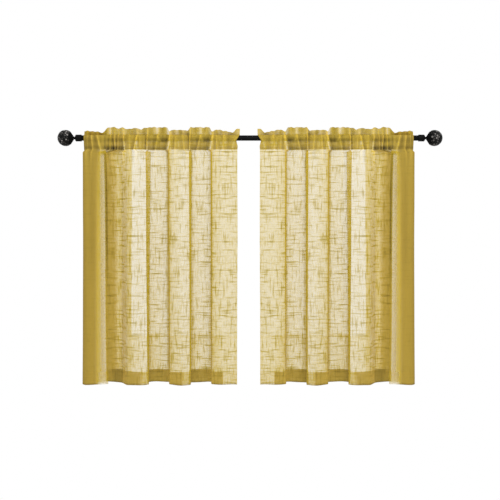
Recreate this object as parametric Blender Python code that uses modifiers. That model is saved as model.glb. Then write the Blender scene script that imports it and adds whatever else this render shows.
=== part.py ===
"""Pair of short sheer curtains with gathered rod pockets, threaded on one straight
black rod with a ball finial at each end. Metres, +Z up, +X along the rod and -Y to
the front. The origin is the middle of the rod's own axis."""

import math

import bmesh
import bpy
from mathutils import Euler, Vector

MM = 0.001
SEAT = 0.3  # clear gap between neighbouring pieces, mm

# Rod and finials, mm
ROD_RADIUS = 9.5
ROD_WALL = 1.0
ROD_HALF_LENGTH = 601.0
COLLAR_RADIUS = 12.1
COLLAR_LENGTH = 20.0
CHAMFER_LENGTH = 4.4
NECK_RADIUS = 4.6
NECK_LENGTH = 2.9
SPIGOT_LENGTH = 22.0
STUD_RADIUS = 3.0  # the stud screws the ball to its sleeve
STUD_LENGTH = 9.0
BALL_RADIUS = 28.6
BALL_CENTRE = 658.0
CONE_ANGLE = 136.0  # degrees from the tip at which the ball runs into its cone
ROUND_STEPS = 28

# Curtains, mm
CLOTH_THICKNESS = 1.2
LEFT_INNER_EDGE = -44.7
RIGHT_INNER_EDGE = 35.2
HEM_LEVEL = -875.0
POCKET_SEAM_LEVEL = -42.0
UPPER_SEAM_LEVEL = 10.45
FOLD_TURN = 11.0  # how far a fold's edge is rounded back
SAMPLES = 2  # stations for each step between two guide points
EDGE_SHARE = 0.04  # where on the rod a fold's edge sits, as a share of the fold
SHOULDER_SHARE = 0.16  # the same for the point where its face begins
EDGE_DROP = 3.0  # how far the inner edge falls back
PUFF_ROUNDING = 0.6  # the lower, the squarer the puffs of the pocket

# One row for each fold of the cloth, from the curtain's inner edge outwards. All mm.
# start and end run along the rod, just under the pocket; hem_start and hem_end
# are the same two at the hem. depth is how far the fold stands behind the rod's
# axis. on_rod_start and on_rod_end are where its gathered top sits on the rod,
# and puff is how far the pocket stands off the rod there.
FOLD_COLUMNS = (
    "name", "start", "end", "hem_start", "hem_end", "depth",
    "crown", "on_rod_start", "on_rod_end", "puff",
)
FOLD_ROWS = (
    ("inner_front", 0, 95, 0, 92, -33, -5, 0, 95, 8.0),
    ("inner_back", 90, 173, 92, 172, 20, 6, 95, 172, 0.8),
    ("middle_front", 162, 245, 165, 242, -34, -6, 172, 246, 8.5),
    ("middle_back", 243, 328, 243, 323, 21, 6, 246, 324, 0.8),
    ("wide_front", 308, 396, 314, 394, -32, -5, 324, 398, 5.0),
    ("outer_back", 409, 512, 410, 504, 22, 3, 398, 466, 1.5),
    ("roll_front", 467, 545, 457, 543, -33, -7, 466, 541, 6.5),
)
FOLDS = [dict(zip(FOLD_COLUMNS, row)) for row in FOLD_ROWS]

# Guide points of the outer edge, which turns back behind the last fold. All mm.
# Columns: across, depth, place on the rod, puff.
SIDE_TURN = (
    (549, -14, 542.0, 2.5),
    (550, 4, 544.5, 1.2),
    (546, 19, 547.0, 0.0),
)

# Height of the heading's top edge above the rod's axis, along the rod. All mm.
HEADING = (
    (0, 31.6), (9, 31.6), (18, 18.0), (47, 25.0), (66, 28.4), (85, 26.5), (92, 22.7),
    (100, 38.5), (168, 39.0), (176, 25.2), (198, 27.7), (236, 27.7), (243, 20.9),
    (250, 38.7), (322, 38.4), (343, 28.7), (359, 35.9), (369, 32.3), (401, 32.3),
    (411, 39.4), (425, 33.4), (441, 40.2), (464, 36.6), (480, 16.2), (491, 20.9),
    (547, 25.2),
)
CORNER_FLARE = 9.0  # the heading's inner corner points out past the edge
CORNER_WIDTH = 20.0

# How the folds open below the pocket. Columns: level, how far each fold has reached
# its own place, how much of its depth it has, and a shift of the cloth in mm (-Y is
# to the front).
BODY_LEVELS = (
    (HEM_LEVEL, 1.0, 1.04, 0.0),
    (-640.0, 1.0, 1.00, 0.0),
    (-360.0, 1.0, 0.92, 0.0),
    (-155.0, 1.0, 0.72, -1.0),
    (-60.0, 1.0, 0.46, -5.0),
    (POCKET_SEAM_LEVEL, 0.0, 0.25, -7.0),
)

# The pocket's two layers around the rod, from the lower seam up. Columns: level,
# distance from the rod's axis, how much of the way there from the seam, and how
# much of the fold's puff.
POCKET_LEVELS = (
    (-21.0, 11.6, 0.62, 0.6),
    (0.0, 11.3, 1.0, 1.0),
    (9.7, 8.4, 1.0, 0.7),
)
BACK_PUFF = 2.6  # how far the back layer stands off the rod
PUFF_BEHIND = 0.35  # how much of the front's puff is drawn from the back

HEADING_ROWS = (0.45, 1.0)  # rows of the heading, as shares of its height
HEADING_LEAN = 0.16  # how far the heading follows the folds below it
RUFFLE_DEPTH = 2.5
RUFFLE_WAVE = 7.5
HEADING_FORWARD = 2.0


def between(low, high, share):
    return low + (high - low) * share


def table_value(rows, where):
    """Straight-line value of a two-column table."""
    if where <= rows[0][0]:
        return rows[0][1]
    for (left, first), (right, second) in zip(rows, rows[1:]):
        if where <= right:
            return between(first, second, (where - left) / (right - left))
    return rows[-1][1]


def smooth_path(points):
    """Even steps along a smooth curve through the guide points. The first two
    values curve and the others run straight from point to point."""
    path = []
    for i in range(len(points) - 1):
        before = points[max(i - 1, 0)]
        here = points[i]
        there = points[i + 1]
        after = points[min(i + 2, len(points) - 1)]
        for step in range(SAMPLES):
            t = step / SAMPLES
            curved = tuple(
                0.5 * (2 * b + (c - a) * t + (2 * a - 5 * b + 4 * c - d) * t * t
                       + (3 * b - a - 3 * c + d) * t ** 3)
                for a, b, c, d in zip(before[:2], here[:2], there[:2], after[:2])
            )
            straight = tuple(between(b, c, t) for b, c in zip(here[2:], there[2:]))
            path.append(curved + straight)
    path.append(points[-1])
    return path


def fold_guide(sag):
    """Guide points of the cloth seen from above, as (across, depth, on_rod, puff).
    sag is 0 under the pocket and 1 at the hem."""
    points = []
    for i, fold in enumerate(FOLDS):
        start = between(fold["start"], fold["hem_start"], sag)
        end = between(fold["end"], fold["hem_end"], sag)
        depth = fold["depth"]
        before = FOLDS[i - 1]["depth"] - depth if i else EDGE_DROP
        after = FOLDS[i + 1]["depth"] - depth if i + 1 < len(FOLDS) else 0
        turn_before = math.copysign(min(FOLD_TURN, abs(before) / 2), before)
        turn_after = math.copysign(min(FOLD_TURN, abs(after) / 2), after)
        if i == 0:
            guide = [(0.0, start, depth + before)]
        else:
            guide = [(EDGE_SHARE, start, depth + turn_before)]
        guide += [
            (SHOULDER_SHARE, start + FOLD_TURN, depth),
            (0.5, between(start, end, 0.5), depth + fold["crown"]),
            (1 - SHOULDER_SHARE, end - FOLD_TURN, depth),
        ]
        if after:
            guide.append((1 - EDGE_SHARE, end, depth + turn_after))
        for share, across, behind in guide:
            on_rod = between(fold["on_rod_start"], fold["on_rod_end"], share)
            puff = fold["puff"] * math.sin(math.pi * share) ** PUFF_ROUNDING
            points.append((across, behind, on_rod, puff))
    points.extend(SIDE_TURN)
    return points


def cloth_rows():
    """Rows of points of the cloth's middle surface: body, pocket front, pocket
    back and heading. Each point is (across, depth, height) in mm."""
    body = []
    for level, opened, gain, lean in BODY_LEVELS:
        sag = max(0.0, (POCKET_SEAM_LEVEL - level) / (POCKET_SEAM_LEVEL - HEM_LEVEL)) ** 1.5
        path = smooth_path(fold_guide(sag))
        body.append([
            (between(on_rod, across, opened), lean + gain * depth, level)
            for across, depth, on_rod, puff in path
        ])
    seam = body[-1]
    path = smooth_path(fold_guide(0.0))
    front, back = [seam], [seam]
    for level, reach, share, swell in POCKET_LEVELS:
        front_row, back_row = [], []
        for (across, depth, on_rod, puff), (x, seam_depth, z) in zip(path, seam):
            front_at = -reach - swell * puff
            back_at = reach + swell * (BACK_PUFF - PUFF_BEHIND * min(puff, 6))
            front_row.append((on_rod, between(seam_depth, front_at, share), level))
            back_row.append((on_rod, between(seam_depth, back_at, share), level))
        front.append(front_row)
        back.append(back_row)
    ridge = [(on_rod, 0.0, UPPER_SEAM_LEVEL) for across, depth, on_rod, puff in path]
    front.append(ridge)
    back.append(ridge)
    heading = [ridge]
    for share in HEADING_ROWS:
        row = []
        for across, depth, on_rod, puff in path:
            top = table_value(HEADING, on_rod)
            flare = CORNER_FLARE * max(0.0, 1 - on_rod / CORNER_WIDTH) * share
            ruffle = RUFFLE_DEPTH * math.sin(on_rod / RUFFLE_WAVE)
            lean = (HEADING_LEAN * depth - HEADING_FORWARD + ruffle) * share
            row.append((on_rod - flare, lean, between(UPPER_SEAM_LEVEL, top, share)))
        heading.append(row)
    return body, front, back, heading


def join_rows(mesh, rows, made, side):
    """Faces between neighbouring rows; rows shared by two strips share their points."""
    strips = []
    for row in rows:
        key = id(row)
        if key not in made:
            made[key] = [
                mesh.verts.new((side * x * MM, y * MM, z * MM)) for x, y, z in row
            ]
        strips.append(made[key])
    for low, high in zip(strips, strips[1:]):
        for i in range(len(low) - 1):
            mesh.faces.new((low[i], low[i + 1], high[i + 1], high[i]))


def make_curtain(name, inner_edge, side, collection, material):
    mesh = bmesh.new()
    made = {}
    for strip in cloth_rows():
        join_rows(mesh, strip, made, side)
    data = bpy.data.meshes.new(name)
    mesh.to_mesh(data)
    mesh.free()
    curtain = bpy.data.objects.new(name, data)
    curtain.location = Vector((inner_edge * MM, 0, 0))
    collection.objects.link(curtain)
    data.materials.append(material)
    cloth = curtain.modifiers.new("cloth", "SOLIDIFY")
    cloth.solidify_mode = "NON_MANIFOLD"
    cloth.nonmanifold_thickness_mode = "CONSTRAINTS"
    cloth.nonmanifold_boundary_mode = "FLAT"
    cloth.thickness = CLOTH_THICKNESS * MM
    cloth.offset = 0.0
    return curtain


def make_turned(name, profile, closed, collection, material):
    """A profile of (radius, height) in mm, turned about its own Z axis."""
    mesh = bmesh.new()
    points = [mesh.verts.new((radius * MM, 0, height * MM)) for radius, height in profile]
    for first, second in zip(points, points[1:]):
        mesh.edges.new((first, second))
    if closed:
        mesh.edges.new((points[-1], points[0]))
    data = bpy.data.meshes.new(name)
    mesh.to_mesh(data)
    mesh.free()
    piece = bpy.data.objects.new(name, data)
    collection.objects.link(piece)
    data.materials.append(material)
    turn = piece.modifiers.new("turn", "SCREW")
    turn.steps = ROUND_STEPS
    turn.render_steps = ROUND_STEPS
    turn.use_merge_vertices = True
    turn.merge_threshold = 0.00001
    turn.use_smooth_shade = True
    return piece


def arc(radius, centre, start, stop, steps):
    """Points of a circle about the turned piece's axis, by angle from the top."""
    return [
        (
            radius * math.sin(math.radians(between(start, stop, i / steps))),
            centre + radius * math.cos(math.radians(between(start, stop, i / steps))),
        )
        for i in range(steps + 1)
    ]


def rod_profile():
    bore = ROD_RADIUS - ROD_WALL
    return [
        (ROD_RADIUS, ROD_HALF_LENGTH), (ROD_RADIUS, -ROD_HALF_LENGTH),
        (bore, -ROD_HALF_LENGTH), (bore, ROD_HALF_LENGTH),
    ]


def collar_profile():
    """From the stud's tip down to the spigot's end; height is measured outwards."""
    face = ROD_HALF_LENGTH + SEAT
    shoulder = face + COLLAR_LENGTH
    neck = shoulder + CHAMFER_LENGTH
    neck_end = neck + NECK_LENGTH
    spigot_radius = ROD_RADIUS - ROD_WALL - SEAT
    return [
        (0, neck_end + STUD_LENGTH), (STUD_RADIUS, neck_end + STUD_LENGTH),
        (STUD_RADIUS, neck_end), (NECK_RADIUS, neck_end), (NECK_RADIUS, neck),
        (COLLAR_RADIUS, shoulder), (COLLAR_RADIUS, face), (spigot_radius, face),
        (spigot_radius, face - SPIGOT_LENGTH), (0, face - SPIGOT_LENGTH),
    ]


def ball_profile():
    """The ball's cone runs straight off the ball down to the neck."""
    cone_end = ROD_HALF_LENGTH + COLLAR_LENGTH + CHAMFER_LENGTH + NECK_LENGTH + 2 * SEAT
    hole_radius = STUD_RADIUS + SEAT
    hole_end = cone_end + STUD_LENGTH + SEAT
    return arc(BALL_RADIUS, BALL_CENTRE, 0, CONE_ANGLE, 13) + [
        (NECK_RADIUS, cone_end), (hole_radius, cone_end), (hole_radius, hole_end), (0, hole_end),
    ]


def make_material(name, colour, roughness, metallic):
    material = bpy.data.materials.new(name)
    material.use_nodes = True
    shader = material.node_tree.nodes["Principled BSDF"]
    shader.inputs["Base Color"].default_value = (*colour, 1)
    shader.inputs["Roughness"].default_value = roughness
    shader.inputs["Metallic"].default_value = metallic
    return material


def main():
    for old in list(bpy.data.objects):
        bpy.data.objects.remove(old, do_unlink=True)
    collection = bpy.data.collections.new("Curtains on rod")
    bpy.context.scene.collection.children.link(collection)
    voile = make_material("mustard voile", (0.515, 0.352, 0.045), 0.85, 0.0)
    black = make_material("satin black metal", (0.012, 0.012, 0.013), 0.38, 0.6)
    chips = make_material("black chip ball", (0.02, 0.02, 0.022), 0.22, 0.4)

    make_curtain("curtain_left", LEFT_INNER_EDGE, -1, collection, voile)
    make_curtain("curtain_right", RIGHT_INNER_EDGE, 1, collection, voile)

    rod = make_turned("rod", rod_profile(), True, collection, black)
    rod.rotation_euler = Euler((0, math.radians(90), 0))
    for side, tilt in (("left", -90), ("right", 90)):
        for kind, profile, material in (
            ("collar", collar_profile(), black),
            ("finial", ball_profile(), chips),
        ):
            piece = make_turned(f"{kind}_{side}", profile, False, collection, material)
            piece.rotation_euler = Euler((0, math.radians(tilt), 0))


main()
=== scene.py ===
"""Pair of short sheer curtains on a black rod, dressed: slub voile with gathered
pockets, ruffled headings and turned hems, a satin rod and chip-covered balls.
Sizes are in mm along the rod (across), behind it (depth) and above it (level)."""

import math
import random

import bmesh
import bpy
import numpy as np
from mathutils import Matrix, Vector


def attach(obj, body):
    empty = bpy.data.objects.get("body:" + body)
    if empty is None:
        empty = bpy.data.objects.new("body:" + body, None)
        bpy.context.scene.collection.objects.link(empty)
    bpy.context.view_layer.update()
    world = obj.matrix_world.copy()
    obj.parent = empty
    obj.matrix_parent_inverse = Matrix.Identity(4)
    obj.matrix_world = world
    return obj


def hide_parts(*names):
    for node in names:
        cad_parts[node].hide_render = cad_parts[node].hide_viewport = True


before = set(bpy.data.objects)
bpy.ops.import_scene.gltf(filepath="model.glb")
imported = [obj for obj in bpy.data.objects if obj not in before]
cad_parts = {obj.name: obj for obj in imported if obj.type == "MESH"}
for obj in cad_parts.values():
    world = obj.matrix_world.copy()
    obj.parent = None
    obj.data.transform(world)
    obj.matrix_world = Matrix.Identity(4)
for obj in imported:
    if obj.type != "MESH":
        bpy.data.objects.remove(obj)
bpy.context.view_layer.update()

MM = 0.001

# Rod and finials, mm
ROD_RADIUS = 9.5
ROD_WALL = 1.0
ROD_HALF_LENGTH = 601.0
SLEEVE_RADIUS = 12.1
SLEEVE_LENGTH = 20.0
CHAMFER_LENGTH = 4.4
NECK_RADIUS = 4.6
NECK_LENGTH = 2.9
BALL_RADIUS = 28.6
BALL_CENTRE = 658.0
SPIGOT_LENGTH = 22.0  # of the sleeve in the tube
STUD_RADIUS = 3.0
STUD_LENGTH = 9.0  # of the sleeve in the ball
SEAT = 0.3
EDGE_ROUND = 0.7  # rounding of the rod's and sleeves' edges
ROUND_STEPS = 72

# Chips of the balls
CHIP_RINGS = 3  # times that the pattern of twenty triangles is divided
CHIP_GAP = 0.13  # share of a chip that is left open around it
CHIP_BEVEL = 0.16
CHIP_BED = 27.9  # radius of the rough ball under the chips
CHIP_TILT = 0.035
CHIP_JITTER = 0.035
# Painted glints: one of these is picked at random for each chip top and lightens its base colour from
# black towards grey.
CHIP_GLINTS = (0.0, 0.0, 0.1, 0.25, 0.45, 0.55, 0.65, 0.75)
CHIP_LAST_ANGLE = 122.0
CONE_START = 127.0  # the cone leaves the ball here, degrees from the tip

# Curtains, mm
LEFT_INNER_EDGE = -44.7
RIGHT_INNER_EDGE = 35.2
HEM_LEVEL = -875.0
HEM_HEIGHT = 46.0
SEAM_LEVEL = -42.0
RIDGE_LEVEL = 10.45
FOLD_TURN = 11.0
EDGE_SHARE = 0.04
SHOULDER_SHARE = 0.16
EDGE_DROP = 3.0
PUFF_ROUNDING = 0.6
OPENING = 11.0  # the folds reach their own places this far below the seam
ROD_CLEARANCE = 10.1  # least distance of the cloth from the rod's axis
STATIONS = 600  # points of the mesh across the cloth
FINE_STEPS = 24  # steps of the drawn path for each guide point

# One row for each fold, from the inner edge outwards: its two edges along the rod
# just under the pocket, the same at the hem, its depth behind the rod's axis, its
# crown, its place on the rod and how far the pocket puffs out there.
FOLD_COLUMNS = (
    "name", "start", "end", "hem_start", "hem_end", "depth",
    "crown", "on_rod_start", "on_rod_end", "puff",
)
FOLD_ROWS = (
    ("inner_front", 0, 95, 0, 92, -33, -5, 0, 95, 8.0),
    ("inner_back", 90, 173, 92, 172, 20, 6, 95, 172, 0.8),
    ("middle_front", 162, 245, 165, 242, -34, -6, 172, 246, 8.5),
    ("middle_back", 243, 328, 243, 323, 21, 6, 246, 324, 0.8),
    ("wide_front", 308, 396, 314, 394, -32, -5, 324, 398, 5.0),
    ("outer_back", 409, 512, 410, 504, 22, 3, 398, 466, 1.5),
    ("roll_front", 467, 545, 457, 543, -33, -7, 466, 541, 6.5),
)
FOLDS = [dict(zip(FOLD_COLUMNS, row)) for row in FOLD_ROWS]

# Outer edge, which turns back behind the last fold: across, depth, place on the
# rod, puff, place along the folds.
SIDE_TURN = (
    (549, -14, 542.0, 2.5, 7.1),
    (550, 4, 544.5, 1.2, 7.2),
    (546, 19, 547.0, 0.0, 7.3),
)

# Level, share of the folds' depth, shift of the cloth.
BODY_LEVELS = (
    (HEM_LEVEL, 1.04, 0.0),
    (-640.0, 1.00, 0.0),
    (-360.0, 0.92, 0.0),
    (-155.0, 0.72, -1.0),
    (-60.0, 0.46, -5.0),
    (SEAM_LEVEL, 0.25, -7.0),
)
# Level, distance from the rod's axis, way there from the seam, share of the puff.
POCKET_LEVELS = (
    (SEAM_LEVEL, 11.6, 0.0, 0.0),
    (-21.0, 11.6, 0.62, 0.6),
    (0.0, 11.3, 1.0, 1.0),
    (9.7, 8.4, 1.0, 0.7),
)
BACK_PUFF = 2.6
PUFF_BEHIND = 0.35

# Place on the rod, height of the heading's top edge above the rod's axis.
HEADING = (
    (0, 31.6), (9, 31.6), (18, 18.0), (47, 25.0), (66, 28.4), (85, 26.5), (92, 22.7),
    (100, 38.5), (168, 39.0), (176, 25.2), (198, 27.7), (236, 27.7), (243, 20.9),
    (250, 38.7), (322, 38.4), (343, 28.7), (359, 35.9), (369, 32.3), (401, 32.3),
    (411, 39.4), (425, 33.4), (441, 40.2), (464, 36.6), (480, 16.2), (491, 20.9),
    (547, 25.2),
)
CORNER_WIDTH = 20.0
# Level, how far the inner edge stands out towards the other curtain.
EDGE_FLARE = (
    (SEAM_LEVEL, 0.0), (-30.0, 1.0), (-10.0, -4.0), (4.0, 4.0), (RIDGE_LEVEL, 8.0), (40.0, 9.0),
)
HEADING_LEAN = 0.16
HEADING_FORWARD = 2.0
HEM_BACK_GAP = 1.3  # the hem's turned-up back stands this far behind its front
HEM_CREASE = 0.5
PLEAT_HEIGHT = 0.8

# Gathers drawn up by the rod: place at the top and at the seam, half width, height.
GATHERS = (
    (48, 52, 3.5, 2.5), (76, 74, 3.0, 2.5), (88, 97, 5.0, 5.6), (130, 144, 3.5, 3.5),
    (169, 170, 2.4, 7.0), (194, 190, 3.5, 2.5), (219, 223, 3.5, 2.5),
    (239, 248, 5.0, 5.6), (283, 293, 3.5, 3.5), (321, 322, 2.4, 7.0),
    (350, 345, 3.0, 2.0), (356, 367, 3.5, 4.5), (385, 383, 4.0, 2.5),
    (406, 402, 3.5, 5.0), (423, 427, 2.8, 3.5), (439, 436, 2.8, 4.5),
    (452, 455, 2.4, 3.5), (499, 486, 4.0, 4.0), (519, 514, 3.5, 3.5),
    (535, 533, 2.5, 2.5),
)
GATHER_FADE = 38.0  # how far the gathers run down below the seam

# Painted light and shade patches of the pocket and heading: place on the rod and level
# # of the upper end, the same of the lower end, half width, painted light (negative
# # for painted shade), share of plies added.
PATCHES = (
    (4, 4, 20, -40, 4.5, 0.12, -0.45),
    (30, 2, 29, -14, 8.0, -0.20, 0.0),
    (29, -30, 29, -42, 9.0, -0.15, 0.0),
    (45, 10, 42, -34, 4.0, 0.12, -0.35),
    (65, 28, 63, 12, 6.0, 0.08, -0.30),
    (62, 0, 55, -34, 5.0, 0.12, -0.40),
    (89, 8, 98, -42, 4.5, 0.08, -0.35),
    (99, 40, 95, 8, 5.0, 0.10, -0.55),
    (112, 6, 112, -16, 10.0, -0.28, 0.0),
    (131, 40, 131, 14, 6.0, 0.10, -0.55),
    (150, 38, 150, 14, 8.0, -0.08, 0.30),
    (114, 38, 114, 14, 8.0, -0.10, 0.40),
    (135, 12, 125, -12, 4.0, 0.16, -0.45),
    (175, 18, 176, 6, 5.0, -0.22, 0.20),
    (215, 26, 212, 12, 7.0, 0.08, -0.30),
    (213, -6, 209, -34, 5.0, 0.12, -0.40),
    (229, 10, 237, -42, 3.5, 0.08, -0.30),
    (240, 8, 249, -42, 4.0, 0.08, -0.35),
    (250, 40, 246, 8, 5.0, 0.10, -0.55),
    (265, 38, 266, 14, 8.0, -0.10, 0.40),
    (265, 6, 265, -16, 9.0, -0.28, 0.0),
    (286, 40, 286, 14, 6.0, 0.10, -0.55),
    (304, 38, 304, 14, 8.0, -0.08, 0.30),
    (288, 12, 276, -12, 4.0, 0.16, -0.45),
    (330, 20, 330, 8, 6.0, -0.18, 0.20),
    (360, 8, 356, -42, 5.0, 0.12, -0.50),
    (410, 8, 402, -42, 4.0, 0.10, -0.35),
    (436, 14, 434, -30, 3.5, 0.12, -0.35),
    (440, -28, 440, -42, 28.0, -0.34, 0.0),
    (455, 38, 455, 14, 4.0, 0.10, -0.45),
    (469, 30, 471, 8, 5.0, -0.18, 0.40),
    (471, 4, 471, -42, 3.5, -0.30, 0.0),
    (488, 6, 488, -20, 4.0, -0.16, 0.0),
    (502, 8, 494, -30, 3.5, 0.12, -0.20),
    (506, 4, 507, -34, 5.5, -0.20, 0.0),
    (512, 28, 512, 10, 32.0, -0.04, 1.60),
    (518, 4, 516, -38, 4.0, 0.12, -0.20),
    (532, 2, 532, -38, 9.0, -0.20, 0.0),
)
ROD_GLEAM = 0.45  # painted highlight used in place of thin cloth in front of the rod
PATCH_EDGE = 8.0  # how softly a patch ends

# How many plies of yarn the cloth shows, by place along the folds (the fold's
# number, then the share of the way across it), at these levels: at the seam, under
# the pocket, low down, above and below the tone line, above the hem and in it.
PLY_LEVELS = (-44.0, -59.0, -640.0, -700.0, -712.0, -828.0, -831.0)
# More plies also make the yarn colour darker, so the heaviest values, as in the hem and beside the
# rolled edge, are partly painted shade.
PLY_ROWS = (
    (0.00, 1.8, 1.7, 1.8, 1.9, 2.1, 2.1, 1.9),
    (0.14, 1.6, 1.5, 1.65, 1.75, 2.0, 2.0, 1.8),
    (0.16, 1.3, 1.3, 1.5, 1.5, 1.7, 1.7, 1.6),
    (0.52, 1.3, 1.3, 1.5, 1.5, 1.7, 1.7, 1.6),
    (0.56, 1.3, 1.3, 1.5, 1.5, 1.7, 1.7, 6.5),
    (0.84, 1.8, 1.8, 2.1, 2.1, 2.8, 2.8, 7.5),
    (0.91, 2.8, 2.8, 3.0, 3.0, 4.2, 4.2, 9.0),
    (0.96, 6.0, 6.0, 7.0, 7.0, 9.0, 9.0, 9.0),
    (1.03, 5.0, 5.0, 6.0, 6.0, 7.0, 7.0, 9.0),
    (1.09, 3.2, 3.2, 4.2, 4.2, 3.6, 3.6, 9.0),
    (1.18, 1.35, 1.35, 1.7, 1.7, 1.9, 1.9, 8.0),
    (1.50, 1.15, 1.15, 1.4, 1.5, 1.7, 1.7, 8.0),
    (1.78, 1.4, 1.4, 1.7, 1.7, 2.3, 2.3, 8.5),
    (1.84, 1.8, 1.8, 2.8, 2.8, 3.4, 3.4, 9.0),
    (1.94, 2.8, 2.8, 3.6, 3.6, 4.2, 4.2, 9.0),
    (2.03, 2.0, 2.0, 2.2, 2.2, 2.8, 2.8, 4.5),
    (2.14, 1.25, 1.25, 1.4, 1.4, 1.6, 1.6, 2.4),
    (2.34, 1.1, 1.1, 1.2, 1.3, 1.5, 1.5, 2.2),
    (2.45, 1.1, 1.1, 1.35, 1.4, 1.6, 1.6, 7.0),
    (2.82, 1.6, 1.6, 1.9, 1.9, 2.3, 2.3, 8.0),
    (2.90, 3.0, 3.0, 3.0, 3.0, 3.6, 3.6, 9.0),
    (2.97, 4.6, 4.6, 5.0, 5.0, 6.0, 6.0, 9.0),
    (3.05, 6.5, 6.5, 6.0, 6.0, 6.5, 6.5, 9.0),
    (3.12, 4.5, 4.5, 3.8, 3.8, 4.2, 4.2, 9.0),
    (3.19, 1.3, 1.3, 1.5, 1.5, 1.7, 1.7, 8.0),
    (3.50, 1.2, 1.2, 1.4, 1.5, 1.8, 1.8, 8.0),
    (3.80, 1.15, 1.15, 1.8, 1.8, 2.5, 2.5, 9.0),
    (3.88, 1.2, 1.2, 3.0, 3.0, 4.4, 4.4, 9.0),
    (3.97, 1.5, 1.5, 3.2, 3.2, 3.8, 3.8, 9.0),
    (4.04, 0.8, 0.8, 1.0, 1.0, 1.8, 1.8, 4.0),
    (4.10, 0.80, 0.75, 0.95, 0.95, 1.5, 1.5, 2.4),
    (4.25, 0.90, 0.85, 1.05, 1.05, 1.4, 1.4, 2.4),
    (4.40, 0.90, 0.85, 1.1, 1.1, 1.5, 1.5, 5.5),
    (4.69, 0.90, 0.85, 1.1, 1.1, 1.9, 1.9, 7.0),
    (4.72, 2.3, 2.3, 3.0, 3.0, 2.7, 2.7, 7.0),
    (4.95, 2.8, 2.6, 3.4, 3.4, 3.3, 3.3, 8.0),
    (5.02, 3.4, 2.6, 3.6, 3.6, 3.8, 3.8, 9.0),
    (5.12, 5.0, 3.2, 3.4, 3.4, 3.6, 3.6, 9.0),
    (5.22, 5.0, 3.0, 3.0, 3.0, 3.6, 3.6, 9.0),
    (5.25, 5.0, 2.1, 2.6, 2.6, 3.2, 3.2, 9.0),
    (5.29, 6.0, 3.4, 3.6, 3.6, 4.0, 4.0, 9.0),
    (5.40, 6.0, 4.6, 7.5, 7.5, 8.0, 8.0, 9.0),
    (5.53, 6.0, 7.0, 9.0, 9.0, 8.0, 8.0, 9.0),
    (5.60, 7.0, 9.0, 9.0, 9.0, 8.0, 8.0, 7.0),
    (5.64, 6.0, 0.9, 0.85, 0.85, 0.85, 0.85, 0.7),
    (5.67, 4.5, 0.8, 0.8, 0.8, 0.8, 0.8, 0.45),
    (5.72, 2.6, 0.8, 0.78, 0.78, 0.78, 0.78, 0.45),
    (6.00, 2.6, 0.8, 0.75, 0.75, 0.75, 0.75, 0.45),
    (6.03, 2.6, 0.3, 0.25, 0.25, 0.25, 0.25, 0.25),
    (6.25, 3.2, 0.85, 0.6, 0.6, 0.6, 0.6, 0.3),
    (6.38, 4.5, 4.0, 1.9, 1.9, 2.0, 2.0, 0.9),
    (6.50, 7.5, 8.0, 6.0, 6.0, 6.0, 6.0, 6.0),
    (6.62, 8.5, 9.0, 9.0, 9.0, 9.0, 9.0, 9.0),
    (7.30, 9.0, 9.0, 9.0, 9.0, 9.0, 9.0, 9.0),
)
TONE_LINE_LEVEL = -706.0
TONE_LINE = 0.55  # plies more along the tone line
SLUB_MEAN = 0.88  # usual strength of the slub pattern before it is evened out
OPEN_SHARE = 0.44  # light let through by one ply
POCKET_PLIES = 3.8  # gathered cloth shows more yarn than flat cloth
HEADING_PLIES = 1.6
BACK_PLIES = 1.8
HEM_BACK_PLIES = 0.6
HEM_ROLL_PLIES = 0.3  # the same, in the rolled edge
ROLL_SLUBS = 0.25  # the rolled outer edge shows its yarns less
HEADING_SLUBS = 0.4  # and so does the heading
# Yarns for each metre across and up the flat cloth, how much of them is thin, strength.
SLUB_YARNS = (
    ((15, 150), 0.54, 6.5), ((150, 17), 0.54, 5.5),
    ((40, 420), 0.50, 1.7), ((420, 40), 0.50, 1.7),
)
SLUB_SHADE = 0.26  # thick yarns are darker by this much for each ply more

# Painted light and shade of the cloth: where it is drawn up, ridges are painted lighter as if
# # they catch the light, and the parts that fall back behind their neighbours are painted darker;
# # the gleams and shades below are painted light and shade too.
RIDGE_SHEER = 0.07  # yarn shown less, for each mm that a ridge stands out
RIDGE_GLEAM = 0.10  # for each mm that a ridge stands out
BACK_SHADE = 0.30
RIDGE_PAINTED_SHADE = 0.88  # painted shade along the top of the rod
LEAST_YARN = 0.3  # share of the plies that thin places keep
HEM_BACK_SHADE = 0.24
HEM_GLEAM = 0.03
HEM_ROLL_GLEAM = 0.30  # on the light side of the rolled edge
WALL_GLEAM = 0.27  # on the outer edges of the folds that stand forward
WALL_WIDTH = 0.06
HEM_WALL_GLEAM = 0.18
STRIP_GLEAM = 0.07  # on the last fold that stands back
ROLL_POCKET_SHADE = 0.14
ROLL_GLEAM = 0.15  # on the light side of the rolled edge, low down
ROLL_SEAM_SHADE = 0.25  # on the same side, just under the pocket
ROLL_EDGE_SHADE = 0.62  # along its inner edge, high up
ROLL_SHADE = 0.14  # down the middle of the rolled edge, high up
SHADE_LEVELS = ((-37.0, 9.0, 0.9), (-8.0, 7.0, 1.0))  # level, half height, strength
SHADE_BANDS = ((-12.0, 6.0, 0.12), (-37.0, 7.0, 0.17), (3.0, 6.0, -0.07))  # painted shade bands across every fold, the same columns; a negative strength paints light


def between(low, high, share):
    return low + (high - low) * share


def smooth(share):
    share = np.clip(share, 0.0, 1.0)
    return share * share * (3 - 2 * share)


def bell(value, middle, half, power=2):
    """1 at the middle, falling off to both sides; a higher power is squarer."""
    return np.exp(-((value - middle) / half) ** power)


def column(rows, index, where, soften=0.0):
    """A column of a table at a place, drawn straight between rows and softened."""
    places, values = zip(*sorted((row[0], row[index]) for row in rows))
    offsets = (-soften, 0.0, soften)
    return sum(np.interp(where + offset, places, values) for offset in offsets) / 3


# ---- shape of the cloth ----

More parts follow.
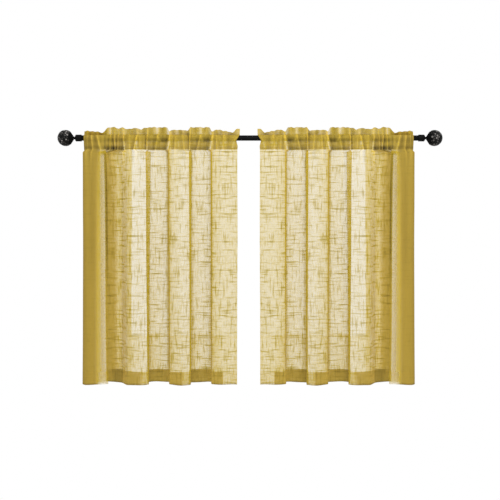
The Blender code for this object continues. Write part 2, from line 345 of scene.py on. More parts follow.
def fold_guide(sag):
    """Guide points seen from above: across, depth, place on the rod, puff, place
    along the folds. sag is 0 under the pocket and 1 at the hem."""
    points = []
    for i, fold in enumerate(FOLDS):
        start = between(fold["start"], fold["hem_start"], sag)
        end = between(fold["end"], fold["hem_end"], sag)
        depth = fold["depth"]
        before = FOLDS[i - 1]["depth"] - depth if i else EDGE_DROP
        after = FOLDS[i + 1]["depth"] - depth if i + 1 < len(FOLDS) else 0
        turn_before = math.copysign(min(FOLD_TURN, abs(before) / 2), before)
        turn_after = math.copysign(min(FOLD_TURN, abs(after) / 2), after)
        if i == 0:
            guide = [(0.0, start, depth + before)]
        else:
            guide = [(EDGE_SHARE, start, depth + turn_before)]
        guide += [
            (SHOULDER_SHARE, start + FOLD_TURN, depth),
            (0.5, between(start, end, 0.5), depth + fold["crown"]),
            (1 - SHOULDER_SHARE, end - FOLD_TURN, depth),
        ]
        if after:
            guide.append((1 - EDGE_SHARE, end, depth + turn_after))
        for share, across, behind in guide:
            on_rod = between(fold["on_rod_start"], fold["on_rod_end"], share)
            puff = fold["puff"] * math.sin(math.pi * share) ** PUFF_ROUNDING
            points.append((across, behind, on_rod, puff, i + share))
    points.extend(SIDE_TURN)
    return np.array(points, float)


def fine_path(sag):
    """A smooth curve through the guide points; only across and depth are curved."""
    points = fold_guide(sag)
    padded = np.vstack([points[:1], points, points[-1:]])
    t = np.arange(FINE_STEPS)[:, None] / FINE_STEPS
    pieces = []
    for i in range(len(points) - 1):
        a, b, c, d = padded[i:i + 4]
        curved = 0.5 * (2 * b + (c - a) * t + (2 * a - 5 * b + 4 * c - d) * t ** 2
                        + (3 * b - a - 3 * c + d) * t ** 3)
        straight = b + (c - b) * t
        pieces.append(np.hstack([curved[:, :2], straight[:, 2:]]))
    pieces.append(points[-1:])
    return np.vstack(pieces)


def station_places():
    """Where the stations sit along the fine path, close together on the rod and
    on the folds alike, and how far across the flat cloth each one is."""
    path = fine_path(0.5)
    steps = np.linalg.norm(np.diff(path[:, :2], axis=0), axis=1)
    flat = np.concatenate([[0.0], np.cumsum(steps)])
    measure = 0.45 * flat + path[:, 2]
    wanted = np.linspace(measure[0], measure[-1], STATIONS)
    index = np.interp(wanted, measure, np.arange(len(path)))
    return index, np.interp(index, np.arange(len(path)), flat)


STATION_INDEX, FLAT_ACROSS = station_places()


def path_at(sag):
    fine = fine_path(sag)
    places = np.arange(len(fine))
    return [np.interp(STATION_INDEX, places, fine[:, i]) for i in range(fine.shape[1])]


def gather_height(on_rod, level):
    """Soft ridges of the gathers, strongest on the pocket, fading below it."""
    share = np.clip((level - SEAM_LEVEL) / (RIDGE_LEVEL - SEAM_LEVEL), 0.0, 1.0)
    fade = math.exp(-max(0.0, SEAM_LEVEL - level) / GATHER_FADE)
    total = np.zeros_like(on_rod)
    for top, low, width, height in GATHERS:
        near = (on_rod - between(low, top, share)) / width
        total += height * (np.exp(-near ** 2) - 0.4 * np.exp(-((near - 2.2) / 1.2) ** 2))
    return total * fade


def pleat_noise(on_rod, level):
    """Many small uneven pleats of the gathered cloth."""
    lean = 0.12 * level
    return (0.55 * np.sin((on_rod + lean) / 2.1 + 1.7 * np.sin(on_rod / 23.0))
            + 0.45 * np.sin((on_rod - 0.6 * lean) / 3.4 + 1.1 * np.sin(on_rod / 13.0))
            + 0.5 * np.sin(on_rod / 5.9 + 0.05 * level))


def heading_top(on_rod):
    top = column(HEADING, 1, on_rod, soften=1.6)
    return top + 0.7 * np.sin(on_rod / 2.9) + 0.5 * np.sin(on_rod / 5.3 + 1.0)


def heading_wave(on_rod):
    """Side-to-side waves of the heading at its top edge."""
    return (3.2 * np.sin(on_rod / 6.1 + 0.6 * np.sin(on_rod / 19.0))
            + 1.9 * np.sin(on_rod / 2.7 + 1.3))


def body_row(level):
    sag = max(0.0, (SEAM_LEVEL - level) / (SEAM_LEVEL - HEM_LEVEL)) ** 1.5
    across, depth, on_rod, _, place = path_at(sag)
    below = SEAM_LEVEL - level
    soften = 12.0 if below > 30 else 0.0
    gain = column(BODY_LEVELS, 1, level, soften)
    shift = column(BODY_LEVELS, 2, level, soften)
    x = between(on_rod, across, smooth(below / OPENING))
    pleats = PLEAT_HEIGHT * pleat_noise(on_rod, level) * math.exp(-below / GATHER_FADE)
    y = shift + gain * depth - gather_height(on_rod, level) - pleats
    drift = (1.3 * np.sin(level / 140.0 + place * 1.4) + 0.8 * np.sin(level / 57.0 + place * 2.9))
    y = y + drift * smooth(below / 200.0)
    x = x + 0.8 * np.sin(level / 170.0 + place * 1.1) * smooth(below / 300.0)
    return x, y


def edge_flare(on_rod, level):
    return column(EDGE_FLARE, 1, level) * np.clip(1 - on_rod / CORNER_WIDTH, 0, None)


def pocket_row(level, side):
    depth, on_rod, puff = path_at(0.0)[1:4]
    reach = column(POCKET_LEVELS, 1, level)
    share = column(POCKET_LEVELS, 2, level)
    swell = column(POCKET_LEVELS, 3, level)
    seam_depth = -7.0 + 0.25 * depth
    ridges = gather_height(on_rod, level) + PLEAT_HEIGHT * pleat_noise(on_rod, level)
    if side < 0:
        y = between(seam_depth, -reach - swell * puff, share) - ridges
    else:
        away = reach + swell * (BACK_PUFF - PUFF_BEHIND * np.minimum(puff, 6))
        y = between(seam_depth + 0.5 - ridges, away + 0.5 * ridges, share)
    clear = math.sqrt(max(0.0, ROD_CLEARANCE ** 2 - level ** 2))
    if abs(level) < ROD_CLEARANCE:
        y = np.minimum(y, -clear) if side < 0 else np.maximum(y, clear)
    return on_rod - edge_flare(on_rod, level), y


def heading_row(share, side):
    """The heading's two layers stand on the ridge and meet at the top edge."""
    depth, on_rod = path_at(0.0)[1:3]
    swell = 1.3 * math.sin(math.pi * min(share, 0.97)) + 0.5
    if share >= 1.0:
        swell = 0.0
    lean = (HEADING_LEAN * depth - HEADING_FORWARD + heading_wave(on_rod)) * share
    pinch = 0.35 * gather_height(on_rod, RIDGE_LEVEL) * (1 - share)
    y = lean + side * swell - pinch
    level = between(RIDGE_LEVEL, heading_top(on_rod), share)
    return on_rod - edge_flare(on_rod, level), y, level


def plan_normal(x, y):
    dx, dy = np.gradient(x), np.gradient(y)
    length = np.hypot(dx, dy)
    return -dy / length, dx / length


def hem_level(level, place):
    """The hem's lower edge dips a little on each fold."""
    dip = 1.6 * np.sin(place * 2.3) + 0.7 * np.sin(place * 7.1)
    share = np.clip((HEM_LEVEL + HEM_HEIGHT - level) / HEM_HEIGHT, 0, 1)
    return level + dip * share


def ply_row(level, place):
    """Plies of yarn along one level of the body."""
    places = [row[0] for row in PLY_ROWS]
    known = [np.interp(place, places, [row[i + 1] for row in PLY_ROWS])
             for i in range(len(PLY_LEVELS))]
    depths = [-at for at in PLY_LEVELS]
    plies = np.array([np.interp(-level, depths, values) for values in zip(*known)])
    return plies + TONE_LINE * math.exp(-((level - TONE_LINE_LEVEL) / 4.0) ** 2) * (place < 4.7)


def back_share(place):
    """1 on the folds that fall back, 0 on those that stand forward; it places painted shade."""
    return smooth(0.5 - 2.6 * np.sin(np.pi * place)) * (place < 6.0)


def near_walls(place, width):
    """1 at the steep outer edges of the folds that stand forward, where painted highlights go."""
    return sum(bell(place, edge, width) for edge in (1, 3, 5))


def rolled_strip(place):
    """1 on the thin light side of the rolled edge."""
    return bell(place, 6.00, 0.36, 6)


def patches(on_rod, level):
    """Painted light and shade, and the share of plies, that the patches add at a place."""
    painted_shading, plies = 0.0, 0.0
    over_rod = np.exp(-(level / ROD_CLEARANCE) ** 6)  # thin cloth would only show the rod there
    for top, top_level, low, low_level, width, light, yarn in PATCHES:
        share = np.clip((level - low_level) / (top_level - low_level), 0.0, 1.0)
        near = np.exp(-((on_rod - between(low, top, share)) / width) ** 2)
        near = near * smooth((top_level - level) / PATCH_EDGE + 0.5)
        near = near * smooth((level - low_level) / PATCH_EDGE + 0.5)
        # Over the rod, a thinning patch paints light instead of thinning the yarn.
        painted_shading = painted_shading + near * (light + ROD_GLEAM * max(-yarn, 0.0) * over_rod)
        plies = plies + near * (max(yarn, 0.0) + min(yarn, 0.0) * (1 - over_rod))
    return painted_shading, plies


# Painted light and shade on the pocket: shade on the folds that fall back, in bands across every fold
# and on the rolled edge, the patches, highlights on the gather ridges, and light and shade following
# the small pleats.
def pocket_painted_shading(level, place, on_rod):
    shade = sum(strength * bell(level, at, half) for at, half, strength in SHADE_LEVELS)
    shade_bands = sum(strength * bell(level, at, half) for at, half, strength in SHADE_BANDS)
    rolled = ROLL_POCKET_SHADE * smooth((place - 5.9) / 0.1) * bell(level, -36, 10)
    painted_shading = 1.0 - BACK_SHADE * back_share(place) * shade - shade_bands - rolled
    painted_shading = painted_shading + patches(on_rod, level)[0]
    return painted_shading + RIDGE_GLEAM * gather_height(on_rod, level) + 0.05 * pleat_noise(on_rod, level)


def heading_light_and_dark(on_rod, share):
    """Painted light and shade of wide soft folds along the heading, light and dark by turns; the yarn
    is also thinner on the light ones.
    """
    return (np.sin(on_rod / 5.6 + 1.5 * np.sin(on_rod / 17.0) + 0.8 * share)
            + 0.7 * np.sin(on_rod / 9.3 + 2.0 - 0.6 * share))


# Painted light and shade on the heading: highlights on the gather ridges, and the light and dark of its
# wide soft folds and small pleats.
def heading_painted_shading(share, on_rod):
    level = between(RIDGE_LEVEL, RIDGE_LEVEL + 12, share)
    gleam = 0.8 * RIDGE_GLEAM * gather_height(on_rod, RIDGE_LEVEL) * (1 - 0.6 * share)
    return 1.0 + gleam + 0.07 * heading_light_and_dark(on_rod, share) + 0.04 * pleat_noise(on_rod, level)


# Painted light and shade on the body: highlights on the gather ridges, the fold walls, the last fold
# that stands back and the rolled edge; shade on the folds that fall back in the hem and along parts of
# the rolled edge; light and shade following the small pleats under the pocket.
def body_painted_shading(level, place, on_rod):
    below = SEAM_LEVEL - level
    painted_shading = 1.0 + RIDGE_GLEAM * gather_height(on_rod, level)
    painted_shading = painted_shading + WALL_GLEAM * near_walls(place, WALL_WIDTH)
    last_back = bell(place, 5.25, 0.20, 4)
    high_up = smooth((level + 600) / 250)
    if level < HEM_LEVEL + HEM_HEIGHT + 1:
        fallen = back_share(place) * (0.2 + 0.8 * (place % 1)) + 1.15 * last_back
        painted_shading = painted_shading + HEM_GLEAM - HEM_BACK_SHADE * fallen
        painted_shading = painted_shading + HEM_WALL_GLEAM * near_walls(place, 2 * WALL_WIDTH)
        painted_shading = painted_shading + HEM_ROLL_GLEAM * rolled_strip(place)
    else:
        painted_shading = painted_shading + ROLL_GLEAM * bell(place, 6.20, 0.20, 4) * smooth((-level - 150) / 250)
        painted_shading = painted_shading - ROLL_SEAM_SHADE * bell(place, 6.25, 0.25) * bell(below, 0, 10)
        painted_shading = painted_shading - ROLL_EDGE_SHADE * bell(place, 5.605, 0.04, 4) * high_up
        painted_shading = painted_shading + STRIP_GLEAM * last_back * smooth((-level - 300) / 250)
        painted_shading = painted_shading - ROLL_SHADE * bell(place, 6.60, 0.13) * high_up
    return painted_shading + 0.05 * pleat_noise(on_rod, level) * math.exp(-below / GATHER_FADE)


def cloth_grid():
    """Rows of points from the hem's turned-up back, down to the hem, up the front,
    over the heading and down behind the rod to the lower seam, with the plies of
    yarn, the painted light and shade and the strength of the slubs at each point."""
    on_rod, _, place = path_at(0.0)[2:]
    rows, plies, painted_shadings = [], [], []

    def add(x, y, z, ply, painted_shading=1.0):
        rows.append(np.stack([x, y, np.broadcast_to(z, x.shape)], axis=1))
        plies.append(np.broadcast_to(ply, x.shape))
        painted_shadings.append(np.broadcast_to(painted_shading, x.shape))

    hem_top = HEM_LEVEL + HEM_HEIGHT
    for level in np.linspace(hem_top, HEM_LEVEL + 1.0, 7):
        x, y = body_row(level)
        nx, ny = plan_normal(x, y)
        add(x + HEM_BACK_GAP * nx, y + HEM_BACK_GAP * ny, hem_level(level, place),
            between(HEM_BACK_PLIES, HEM_ROLL_PLIES, rolled_strip(place)))
    levels = np.concatenate([
        np.linspace(HEM_LEVEL, hem_top - 3, 6), [hem_top - 1.5, hem_top, hem_top + 1.5],
        np.linspace(hem_top + 8, -722.0, 6), [-713.0, -706.0, -699.0],
        np.linspace(-688.0, -130.0, 38),
        np.linspace(-120.0, -66.0, 8), np.linspace(-60.0, SEAM_LEVEL - 2.5, 7),
    ])
    for level in levels:
        x, y = body_row(level)
        crease = HEM_CREASE if abs(level - hem_top) < 0.1 else 0.0
        add(x, y + crease, hem_level(level, place), ply_row(level, place),
            body_painted_shading(level, place, on_rod))
    pocket_plies = np.maximum(ply_row(SEAM_LEVEL, place), POCKET_PLIES)
    pocket_plies = np.where(place < 5, POCKET_PLIES, pocket_plies)
    for level in np.linspace(SEAM_LEVEL, 9.4, 17):
        x, y = pocket_row(level, -1)
        over_rod = math.exp(-(level / ROD_CLEARANCE) ** 6)
        thin = 1 - RIDGE_SHEER * np.clip(gather_height(on_rod, level), 0, 6) * (1 - over_rod)
        thin = np.clip(thin + patches(on_rod, level)[1], LEAST_YARN, None)
        add(x, y, level, pocket_plies * thin, pocket_painted_shading(level, place, on_rod))
    # Painted shade along the top of the rod.
    ridge_painted_shading = pocket_painted_shading(RIDGE_LEVEL, place, on_rod) * RIDGE_PAINTED_SHADE
    ridge = on_rod - edge_flare(on_rod, RIDGE_LEVEL)
    for depth, level in ((-4.6, 10.35), (-0.9, 10.75)):
        add(ridge, np.full_like(on_rod, depth), level, POCKET_PLIES, ridge_painted_shading)
    for side, shares in ((-1, (0.1, 0.22, 0.35, 0.5, 0.65, 0.8, 0.92, 0.985)),
                         (1, (1.0, 0.985, 0.9, 0.75, 0.55, 0.35, 0.15))):
        for share in shares:
            x, y, z = heading_row(share, side)
            painted_shading, more = patches(on_rod, z)
            sheer = HEADING_PLIES * np.clip(1 - 0.12 * heading_light_and_dark(on_rod, share) + more, 0.35, None)
            add(x, y, z, sheer, heading_painted_shading(share, on_rod) + painted_shading)
    for depth, level in ((0.9, 10.75), (4.6, 10.35)):
        add(ridge, np.full_like(on_rod, depth), level, POCKET_PLIES)
    for level in np.linspace(9.4, SEAM_LEVEL, 14):
        x, y = pocket_row(level, 1)
        thin = 1 - RIDGE_SHEER * np.clip(gather_height(on_rod, level), 0, 6)
        add(x, y, level, BACK_PLIES * np.clip(thin + patches(on_rod, level)[1], LEAST_YARN, None))
    levels = np.array(rows)[:, :, 2]
    slubs = between(1.0, ROLL_SLUBS, smooth((place - 5.58) / 0.10))
    slubs = np.where(levels > RIDGE_LEVEL, np.minimum(slubs, HEADING_SLUBS), slubs)
    return np.array(rows), np.array(plies), np.array(painted_shadings), slubs


def make_voile(name, inner_edge, side, material):
    grid, plies, painted_shadings, slubs = cloth_grid()
    row_count, station_count = grid.shape[:2]
    points = grid.reshape(-1, 3).copy()
    points[:, 0] = inner_edge + side * points[:, 0]
    index = np.arange(row_count * station_count).reshape(row_count, station_count)
    corners = [index[:-1, :-1], index[:-1, 1:], index[1:, 1:], index[1:, :-1]]
    if side < 0:
        corners.reverse()
    faces = np.stack([corner.ravel() for corner in corners], axis=1)
    data = bpy.data.meshes.new(name)
    data.from_pydata((points * MM).tolist(), [], faces.tolist())
    data.polygons.foreach_set("use_smooth", [True] * len(data.polygons))
    steps = np.linalg.norm(np.diff(grid, axis=0), axis=2)
    up = np.concatenate([[0.0], np.cumsum(np.median(steps, axis=1))])
    flat = np.stack(np.broadcast_arrays(FLAT_ACROSS[None, :], up[:, None]), axis=2)
    layer = data.uv_layers.new(name="flat_cloth")
    loops = np.empty(len(data.loops), dtype=np.int64)
    data.loops.foreach_get("vertex_index", loops)
    layer.data.foreach_set("uv", (flat.reshape(-1, 2)[loops] * MM).ravel())
    for word, values in (("plies", plies), ("painted_shading", painted_shadings), ("slubs", slubs)):
        field = data.attributes.new(word, "FLOAT", "POINT")
        field.data.foreach_set("value", values.ravel().astype(float))
    data.materials.append(material)
    piece = bpy.data.objects.new(name, data)
    bpy.context.scene.collection.objects.link(piece)
    return piece


# ---- rod, sleeves and balls ----

def arc(radius, centre, start, stop, steps):
    angles = [math.radians(between(start, stop, i / steps)) for i in range(steps + 1)]
    return [(radius * math.sin(a), centre + radius * math.cos(a)) for a in angles]


def make_turned(name, profile, direction, material, closed=False):
    """A profile of (radius, distance along the rod) turned about the rod's axis."""
    mesh = bmesh.new()
    rings = []
    for radius, along in profile:
        if radius < 0.001:
            rings.append([mesh.verts.new((direction * along * MM, 0, 0))])
            continue
        ring = []
        for step in range(ROUND_STEPS):
            turn = 2 * math.pi * step / ROUND_STEPS
            ring.append(mesh.verts.new((
                direction * along * MM, radius * math.cos(turn) * MM, radius * math.sin(turn) * MM,
            )))
        rings.append(ring)
    pairs = list(zip(rings, rings[1:]))
    if closed:
        pairs.append((rings[-1], rings[0]))
    for first, second in pairs:
        for step in range(ROUND_STEPS):
            following = (step + 1) % ROUND_STEPS
            corners = []
            for ring, place in ((first, step), (first, following), (second, following), (second, step)):
                corner = ring[place % len(ring)]
                if corner not in corners:
                    corners.append(corner)
            if len(corners) > 2:
                mesh.faces.new(corners)
    bmesh.ops.recalc_face_normals(mesh, faces=mesh.faces)
    for face in mesh.faces:
        face.smooth = True
    data = bpy.data.meshes.new(name)
    mesh.to_mesh(data)
    mesh.free()
    data.set_sharp_from_angle(angle=math.radians(32))
    data.materials.append(material)
    piece = bpy.data.objects.new(name, data)
    bpy.context.scene.collection.objects.link(piece)
    return piece


def rod_profile():
    bore = ROD_RADIUS - ROD_WALL
    end = ROD_HALF_LENGTH
    inner = end - EDGE_ROUND
    return [
        (bore, end - 0.2), (bore + 0.2, end), (ROD_RADIUS - 0.3, end), (ROD_RADIUS, inner),
        (ROD_RADIUS, end / 3), (ROD_RADIUS, -end / 3), (ROD_RADIUS, -inner),
        (ROD_RADIUS - 0.3, -end), (bore + 0.2, -end), (bore, 0.2 - end),
    ]


def sleeve_profile():
    """From the spigot's end out to the stud that carries the ball."""
    face = ROD_HALF_LENGTH + SEAT
    shoulder = face + SLEEVE_LENGTH
    neck = shoulder + CHAMFER_LENGTH
    end = neck + NECK_LENGTH
    spigot = ROD_RADIUS - ROD_WALL - SEAT
    return [
        (0, face - SPIGOT_LENGTH), (spigot - 0.6, face - SPIGOT_LENGTH),
        (spigot, face - SPIGOT_LENGTH + 0.6), (spigot, face),
        (SLEEVE_RADIUS - EDGE_ROUND, face), (SLEEVE_RADIUS - 0.2, face + 0.2),
        (SLEEVE_RADIUS, face + EDGE_ROUND), (SLEEVE_RADIUS, shoulder - 0.6),
        (SLEEVE_RADIUS - 0.35, shoulder + 0.1), (NECK_RADIUS + 0.5, neck - 0.3),
        (NECK_RADIUS, neck + 0.1), (NECK_RADIUS, end), (STUD_RADIUS, end),
        (STUD_RADIUS, end + STUD_LENGTH), (0, end + STUD_LENGTH),
    ]


def bed_profile():
    cone_end = ROD_HALF_LENGTH + SLEEVE_LENGTH + CHAMFER_LENGTH + NECK_LENGTH + 2 * SEAT
    socket = STUD_RADIUS + SEAT
    rim = arc(BALL_RADIUS - 0.2, BALL_CENTRE, CONE_START, CONE_START, 1)[:1]
    bed = arc(CHIP_BED, BALL_CENTRE, 0, CONE_START - 2.5, 40)
    return bed + rim + [
        (NECK_RADIUS + 0.9, cone_end), (NECK_RADIUS, cone_end + 0.2), (socket, cone_end + 0.2),
        (socket, cone_end + STUD_LENGTH), (0, cone_end + STUD_LENGTH),
    ]


def make_ball(name, direction, bed_material, chip_material):
    """A rough ball set with small flat chips, with dark lines left between them."""
    bed = make_turned(name, bed_profile(), direction, bed_material)
    chance = random.Random(7 if direction > 0 else 11)
    pattern = bmesh.new()
    bmesh.ops.create_icosphere(pattern, subdivisions=CHIP_RINGS, radius=1.0)
    spin = Matrix.Rotation(0.4, 3, "X") @ Matrix.Rotation(0.7, 3, "Y")
    for vert in pattern.verts:
        jitter = Vector((chance.gauss(0, 1), chance.gauss(0, 1), chance.gauss(0, 1)))
        vert.co = (spin @ vert.co + CHIP_JITTER * jitter).normalized()
    mesh = bmesh.new()
    mesh.from_mesh(bed.data)
    glint = mesh.faces.layers.float.new("glint")
    for vert in pattern.verts:
        if direction * vert.co.x < math.cos(math.radians(CHIP_LAST_ANGLE)):
            continue
        middle = vert.co
        side = middle.orthogonal().normalized()
        front = middle.cross(side)
        centres = sorted(
            (face.calc_center_median().normalized() for face in vert.link_faces),
            key=lambda c: math.atan2(c.dot(front), c.dot(side)),
        )
        tilt = Vector([chance.gauss(0, CHIP_TILT) for _ in range(3)])
        top_normal = (middle + tilt).normalized()
        rings = []
        for keep, radius in ((1 - CHIP_GAP, CHIP_BED - 0.5), (1 - CHIP_GAP, BALL_RADIUS - 0.75),
                             (1 - CHIP_GAP - CHIP_BEVEL, BALL_RADIUS - 0.15)):
            ring = []
            for centre in centres:
                spot = middle.lerp(centre, keep).normalized() * radius
                if radius > CHIP_BED:
                    away = spot - middle * radius
                    spot -= middle * away.dot(top_normal)
                place = Vector((BALL_CENTRE * direction, 0, 0)) + spot
                ring.append(mesh.verts.new(place * MM))
            rings.append(ring)
        made = []
        for low, high in zip(rings, rings[1:]):
            for i in range(len(low)):
                j = (i + 1) % len(low)
                made.append(mesh.faces.new((low[i], low[j], high[j], high[i])))
        made.append(mesh.faces.new(rings[-1]))
        for face in made:
            face.material_index = 1
            face.smooth = False
        # painted glint: a lighter grey base colour on this chip's top
        made[-1][glint] = chance.choice(CHIP_GLINTS)
    pattern.free()
    bmesh.ops.recalc_face_normals(mesh, faces=mesh.faces)
    mesh.to_mesh(bed.data)
    mesh.free()
    bed.data.materials.append(chip_material)
    return bed


# ---- materials ----

class Nodes:
    """Short calls for building one material's nodes."""

    def __init__(self, name):
        self.material = bpy.data.materials.new(name)
        self.material.use_nodes = True
        self.tree = self.material.node_tree
        self.shader = self.tree.nodes["Principled BSDF"]
        self.output = self.tree.nodes["Material Output"]

    def add(self, kind, **settings):
        node = self.tree.nodes.new(kind)
        for key, value in settings.items():
            setattr(node, key, value)
        return node

    def link(self, source, target):
        self.tree.links.new(source, target)

    def feed(self, socket, value):
        if isinstance(value, bpy.types.NodeSocket):
            self.link(value, socket)
        else:
            socket.default_value = value

    def maths(self, operation, first, second=0.0, clamp=False):
        node = self.add("ShaderNodeMath", operation=operation, use_clamp=clamp)
        self.feed(node.inputs[0], first)
        self.feed(node.inputs[1], second)
        return node.outputs[0]

    def noise(self, vector, scale, detail=2.0, roughness=0.5, stretch=(1, 1, 1)):
        mapping = self.add("ShaderNodeMapping")
        mapping.inputs["Scale"].default_value = stretch
        self.link(vector, mapping.inputs["Vector"])
        noise = self.add("ShaderNodeTexNoise")
        noise.inputs["Scale"].default_value = scale
        noise.inputs["Detail"].default_value = detail
        noise.inputs["Roughness"].default_value = roughness
        self.link(mapping.outputs[0], noise.inputs["Vector"])
        return noise.outputs["Fac"]

    def ramp(self, factor, stops):
        node = self.add("ShaderNodeValToRGB")
        node.color_ramp.elements[0].position = stops[0][0]
        node.color_ramp.elements[0].color = (*stops[0][1], 1)
        node.color_ramp.elements[1].position = stops[-1][0]
        node.color_ramp.elements[1].color = (*stops[-1][1], 1)
        for place, colour in stops[1:-1]:
            node.color_ramp.elements.new(place).color = (*colour, 1)
        self.link(factor, node.inputs[0])
        return node.outputs[0]

    def bump(self, height, strength, distance):
        node = self.add("ShaderNodeBump")
        node.inputs["Strength"].default_value = strength
        node.inputs["Distance"].default_value = distance
        self.link(height, node.inputs["Height"])
        return node.outputs[0]


def voile_material():
    """Sheer slub voile: open plain weave with thicker uneven yarns both ways."""
    nodes = Nodes("mustard slub voile")
    flat = nodes.add("ShaderNodeUVMap", uv_map="flat_cloth").outputs[0]
    plies = nodes.add("ShaderNodeAttribute", attribute_name="plies").outputs["Fac"]
    # Painted light and shade, carried by a point attribute, scale the yarn colour below.
    painted_shading = nodes.add("ShaderNodeAttribute", attribute_name="painted_shading").outputs["Fac"]
    slubs = nodes.add("ShaderNodeAttribute", attribute_name="slubs").outputs["Fac"]
    uneven = nodes.maths("MULTIPLY", nodes.noise(flat, 28.0, 2.0, 0.5), 0.25)
    for stretch, thin, strength in SLUB_YARNS:
        thread = nodes.noise(flat, 1.0, 2.0, 0.5, (*stretch, 1))
        proud = nodes.maths("MAXIMUM", nodes.maths("SUBTRACT", thread, thin), 0.0)
        uneven = nodes.maths("ADD", uneven, nodes.maths("MULTIPLY", proud, strength))
    for stretch in ((90, 1100, 1), (1100, 90, 1)):
        thread = nodes.noise(flat, 1.0, 1.0, 0.5, stretch)
        uneven = nodes.maths("ADD", uneven, nodes.maths("MULTIPLY", thread, 0.35))
    uneven = nodes.maths("MULTIPLY", nodes.maths("SUBTRACT", uneven, SLUB_MEAN), slubs)
    uneven = nodes.maths("MAXIMUM", nodes.maths("ADD", uneven, 1.0), 0.3)
    exponent = nodes.maths("MULTIPLY", uneven, plies)
    cover = nodes.maths("SUBTRACT", 1.0, nodes.maths("POWER", OPEN_SHARE, exponent), clamp=True)

    heavier = nodes.maths("MULTIPLY", nodes.maths("SUBTRACT", uneven, 1.0), SLUB_SHADE)
    shade = nodes.maths("MAXIMUM", nodes.maths("SUBTRACT", 1.0, heavier), 0.6)
    painted_shading = nodes.maths("MULTIPLY", painted_shading, shade)
    # The yarn colour darkens as the plies grow: painted shade of thick cloth, which lets less light
    # through from behind.
    colour = nodes.ramp(nodes.maths("MULTIPLY", plies, 0.1, clamp=True), (
        (0.10, (0.545, 0.400, 0.022)), (0.20, (0.54, 0.393, 0.026)), (0.30, (0.53, 0.380, 0.034)),
        (0.42, (0.485, 0.342, 0.054)), (0.60, (0.425, 0.296, 0.046)), (0.90, (0.440, 0.307, 0.048)),
    ))
    shaded = nodes.add("ShaderNodeVectorMath", operation="SCALE")
    nodes.link(colour, shaded.inputs[0])
    nodes.link(painted_shading, shaded.inputs["Scale"])
    colour = shaded.outputs[0]
    nodes.link(colour, nodes.shader.inputs["Base Color"])
    nodes.shader.inputs["Roughness"].default_value = 0.8
    nodes.shader.inputs["Specular IOR Level"].default_value = 0.2
    nodes.shader.inputs["Sheen Weight"].default_value = 0.06
    nodes.shader.inputs["Sheen Roughness"].default_value = 0.4
    nodes.link(nodes.bump(uneven, 0.35, 0.0006), nodes.shader.inputs["Normal"])

    through = nodes.add("ShaderNodeBsdfTranslucent")
    nodes.link(colour, through.inputs["Color"])
    yarn = nodes.add("ShaderNodeMixShader")
    yarn.inputs[0].default_value = 0.4
    nodes.link(nodes.shader.outputs[0], yarn.inputs[1])
    nodes.link(through.outputs[0], yarn.inputs[2])
    openings = nodes.add("ShaderNodeBsdfTransparent")
    cloth = nodes.add("ShaderNodeMixShader")
    nodes.link(cover, cloth.inputs[0])
    nodes.link(openings.outputs[0], cloth.inputs[1])
    nodes.link(yarn.outputs[0], cloth.inputs[2])
    nodes.link(cloth.outputs[0], nodes.output.inputs["Surface"])
    return nodes.material


def black_material(name, dark, light, roughness, grain, gleam):
    """Black paint or plastic with a soft uneven grain."""
    nodes = Nodes(name)
    where = nodes.add("ShaderNodeTexCoord").outputs["Object"]
    cloud = nodes.noise(where, 60.0, 3.0, 0.55)
    speck = nodes.noise(where, grain, 2.0, 0.5)
    colour = nodes.ramp(cloud, ((0.3, (dark,) * 3), (0.7, (light,) * 3)))
    nodes.link(colour, nodes.shader.inputs["Base Color"])
    gloss = nodes.maths("ADD", nodes.maths("MULTIPLY", speck, 0.18), roughness - 0.09)
    nodes.link(gloss, nodes.shader.inputs["Roughness"])
    nodes.shader.inputs["Specular IOR Level"].default_value = gleam
    nodes.link(nodes.bump(speck, 0.25, 0.0002), nodes.shader.inputs["Normal"])
    return nodes.material


def chip_material():
    """Small chips, most of them black and some with a painted glint: a lighter grey base colour where
    they would catch the light.
    """
    nodes = Nodes("black chips with painted glints")
    glint = nodes.add("ShaderNodeAttribute", attribute_name="glint").outputs["Fac"]
    where = nodes.add("ShaderNodeTexCoord").outputs["Object"]
    cloud = nodes.maths("MULTIPLY", nodes.noise(where, 260.0, 2.0, 0.5), 0.25)
    colour = nodes.ramp(nodes.maths("ADD", glint, cloud, clamp=True), (
        (0.15, (0.003, 0.003, 0.003)), (0.60, (0.030, 0.028, 0.026)), (1.00, (0.24, 0.225, 0.21)),
    ))
    nodes.link(colour, nodes.shader.inputs["Base Color"])
    nodes.shader.inputs["Roughness"].default_value = 0.3
    nodes.shader.inputs["Specular IOR Level"].default_value = 0.12
    nodes.link(nodes.bump(cloud, 0.3, 0.0003), nodes.shader.inputs["Normal"])
    return nodes.material


def floor_material():
    nodes = Nodes("pale floor")
    where = nodes.add("ShaderNodeTexCoord").outputs["Object"]
    cloud = nodes.noise(where, 3.0, 3.0, 0.5)
    colour = nodes.ramp(cloud, ((0.3, (0.84, 0.84, 0.835)), (0.7, (0.88, 0.88, 0.875))))
    nodes.link(colour, nodes.shader.inputs["Base Color"])
    nodes.shader.inputs["Roughness"].default_value = 0.8
    return nodes.material


# ---- scene ----

FLOOR_LEVEL = -1.45
FLOOR_WIDTH = 3.2
FLOOR_FRONT = -2.0
FLOOR_BACK = 0.45
CAMERA_DISTANCE = 2.8
CAMERA_HEIGHT = -0.3997
FRAME_WIDTH = 1.785
SENSOR = 36.0
FILL_LIGHT = 0.70
KEY_POWER = 85.0
KEY_SIZE = 2.2


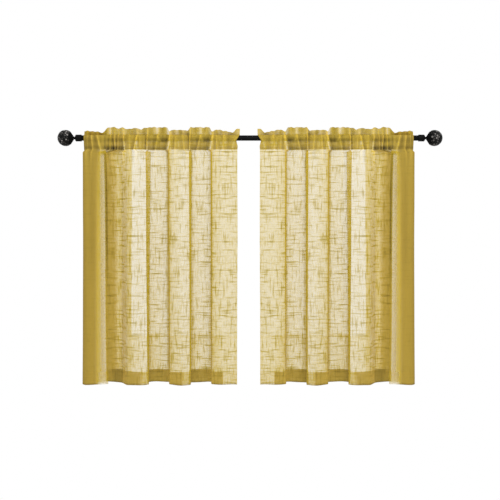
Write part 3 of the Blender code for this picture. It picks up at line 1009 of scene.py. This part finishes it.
def make_floor():
    mesh = bmesh.new()
    half = FLOOR_WIDTH / 2
    corners = [(-half, FLOOR_FRONT), (half, FLOOR_FRONT), (half, FLOOR_BACK), (-half, FLOOR_BACK)]
    mesh.faces.new([mesh.verts.new((x, y, FLOOR_LEVEL)) for x, y in corners])
    data = bpy.data.meshes.new("floor")
    mesh.to_mesh(data)
    mesh.free()
    data.materials.append(floor_material())
    floor = bpy.data.objects.new("floor", data)
    bpy.context.scene.collection.objects.link(floor)


def make_light(name, place, aim, power, size):
    lamp = bpy.data.lights.new(name, "AREA")
    lamp.energy = power
    lamp.shape = "SQUARE"
    lamp.size = size
    light = bpy.data.objects.new(name, lamp)
    light.location = place
    light.rotation_euler = (Vector(aim) - Vector(place)).to_track_quat("-Z", "Y").to_euler()
    bpy.context.scene.collection.objects.link(light)


def make_world():
    """White all round: bright where it is seen, softer as light on the cloth."""
    world = bpy.data.worlds.new("white surround")
    world.use_nodes = True
    bpy.context.scene.world = world
    tree = world.node_tree
    backdrop = tree.nodes["Background"]
    path = tree.nodes.new("ShaderNodeLightPath")
    strength = tree.nodes.new("ShaderNodeMapRange")
    strength.inputs["To Min"].default_value = FILL_LIGHT
    strength.inputs["To Max"].default_value = 1.0
    tree.links.new(path.outputs["Is Camera Ray"], strength.inputs["Value"])
    tree.links.new(strength.outputs[0], backdrop.inputs["Strength"])
    backdrop.inputs["Color"].default_value = (1, 1, 1, 1)


def make_camera():
    data = bpy.data.cameras.new("camera")
    data.sensor_width = SENSOR
    data.lens = SENSOR * CAMERA_DISTANCE / FRAME_WIDTH
    camera = bpy.data.objects.new("camera", data)
    camera.location = (0, -CAMERA_DISTANCE, CAMERA_HEIGHT)
    camera.rotation_euler = (math.radians(90), 0, 0)
    bpy.context.scene.collection.objects.link(camera)
    bpy.context.scene.camera = camera


def main():
    make_camera()
    black = black_material("satin black rod", 0.003, 0.006, 0.5, 900.0, 0.035)
    sleeve_black = black_material("matt black sleeve", 0.003, 0.006, 0.55, 700.0, 0.04)
    bed_black = black_material("black ball bed", 0.002, 0.004, 0.6, 500.0, 0.03)
    chips = chip_material()
    voile = voile_material()

    rod = make_turned("rod_tube", rod_profile(), 1, black, closed=True)
    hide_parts("rod")
    pieces = [rod]
    for side, direction in (("left", -1), ("right", 1)):
        sleeve = make_turned(f"sleeve_{side}", sleeve_profile(), direction, sleeve_black)
        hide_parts(f"collar_{side}")
        ball = make_ball(f"ball_{side}", direction, bed_black, chips)
        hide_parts(f"finial_{side}")
        pieces += [sleeve, ball]
    for side, direction, inner_edge in (("left", -1, LEFT_INNER_EDGE), ("right", 1, RIGHT_INNER_EDGE)):
        cloth = make_voile(f"voile_{side}", inner_edge, direction, voile)
        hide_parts(f"curtain_{side}")
        pieces.append(cloth)
    for piece in pieces:
        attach(piece, "root")

    make_floor()
    make_light("key", (0.3, -2.6, 1.3), (0, 0, -0.4), KEY_POWER, KEY_SIZE)
    make_world()
    bpy.context.scene.view_settings.view_transform = "Standard"
    bpy.context.scene.cycles.transparent_max_bounces = 32


main()
